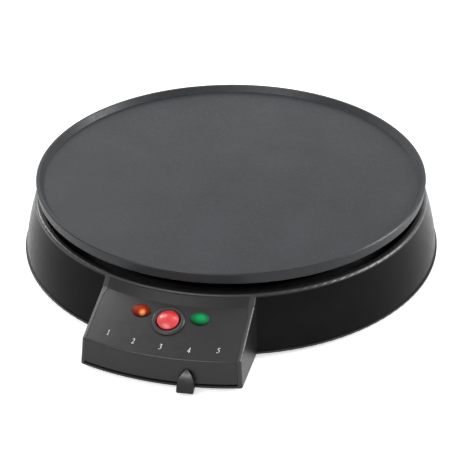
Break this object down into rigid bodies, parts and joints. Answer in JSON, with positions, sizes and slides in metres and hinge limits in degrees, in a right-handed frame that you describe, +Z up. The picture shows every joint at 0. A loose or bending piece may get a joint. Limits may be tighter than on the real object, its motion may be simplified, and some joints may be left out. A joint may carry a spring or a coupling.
{
  "type": "electric crepe maker",
  "caption": "Round countertop crepe maker with a dished non-stick hotplate on a flared ring base, sloping control panel, push button, lamps and sliding temperature lever.",
  "frame": {"origin": "middle of the footprint, on the worktop", "axes": "+Z up, the control panel and temperature lever face -Y, +X to the right of a person who faces the controls"},
  "size_m": [0.3246, 0.37, 0.0626],
  "materials": {
    "nonstick_plate": "dark non-stick coating, satin",
    "element_sheath": "dull",
    "steel_spade": "plated",
    "aluminised_sheet": "aluminised sheet",
    "zinc_steel": "zinc plated",
    "ceramic_body": "matt",
    "brass_bushing": "turned",
    "bimetal": "rolled strip",
    "fuse_case": "drawn case",
    "black_housing": "black, satin gloss",
    "black_cover": "black",
    "dark_screw": "black zinc",
    "foot_rubber": "black",
    "bush_rubber": "black",
    "block_plastic": "natural nylon",
    "panel_plastic": "dark grey, satin",
    "bezel_plastic": "dark grey",
    "red_button": "red, glossy",
    "switch_plastic": "black nylon",
    "red_lens": "translucent red",
    "green_lens": "translucent green",
    "neon_glass": "clear",
    "blue_sleeve": "silicone sleeve",
    "brown_sleeve": "silicone sleeve",
    "white_sleeve": "glass-fibre sleeve",
    "lever_steel": "pressed strip",
    "lever_plastic": "black, satin"
  },
  "bodies": {
    "base": {"hotplate": "nonstick_plate", "heating_element": "element_sheath", "element_terminals": "steel_spade", "heat_shield": "aluminised_sheet", "plate_spacers": "zinc_steel", "plate_screws": "zinc_steel", "thermostat_bracket": "zinc_steel", "thermostat_body": "ceramic_body", "thermostat_bushing": "brass_bushing", "thermostat_screws": "zinc_steel", "thermostat_terminals": "steel_spade", "bimetal_blade": "bimetal", "thermal_fuse": "fuse_case", "fuse_clip": "aluminised_sheet", "base_housing": "black_housing", "bottom_cover": "black_cover", "cover_screws": "dark_screw", "fascia_screws": "dark_screw", "rubber_feet": "foot_rubber", "cord_bush": "bush_rubber", "cord_clamp": "black_cover", "clamp_screws": "zinc_steel", "terminal_block": "block_plastic", "control_fascia": "panel_plastic", "button_bezel": "bezel_plastic", "push_switch": "switch_plastic", "heating_lamp_lens": "red_lens", "ready_lamp_lens": "green_lens", "lamp_holders": "switch_plastic", "neon_lamps": "neon_glass", "neutral_lead": "blue_sleeve", "live_lead": "brown_sleeve", "switched_lead": "white_sleeve", "element_lead": "white_sleeve"},
    "lever": {"thermostat_spindle": "zinc_steel", "lever_arm": "lever_steel", "temperature_lever": "lever_plastic"},
    "button": {"power_button": "red_button"}
  },
  "joints": [
    {"name": "lever_swing", "type": "hinge", "parent": "base", "child": "lever", "pos_m": [0, 0.02238, 0.0053], "axis": [0, 0, 1], "range_deg": [-18, 6]},
    {"name": "button_press", "type": "slide", "parent": "base", "child": "button", "axis": [0, 0.3681, -0.9298], "range_m": [0, 0.0025], "stiffness_N_per_m": 800}
  ]
}
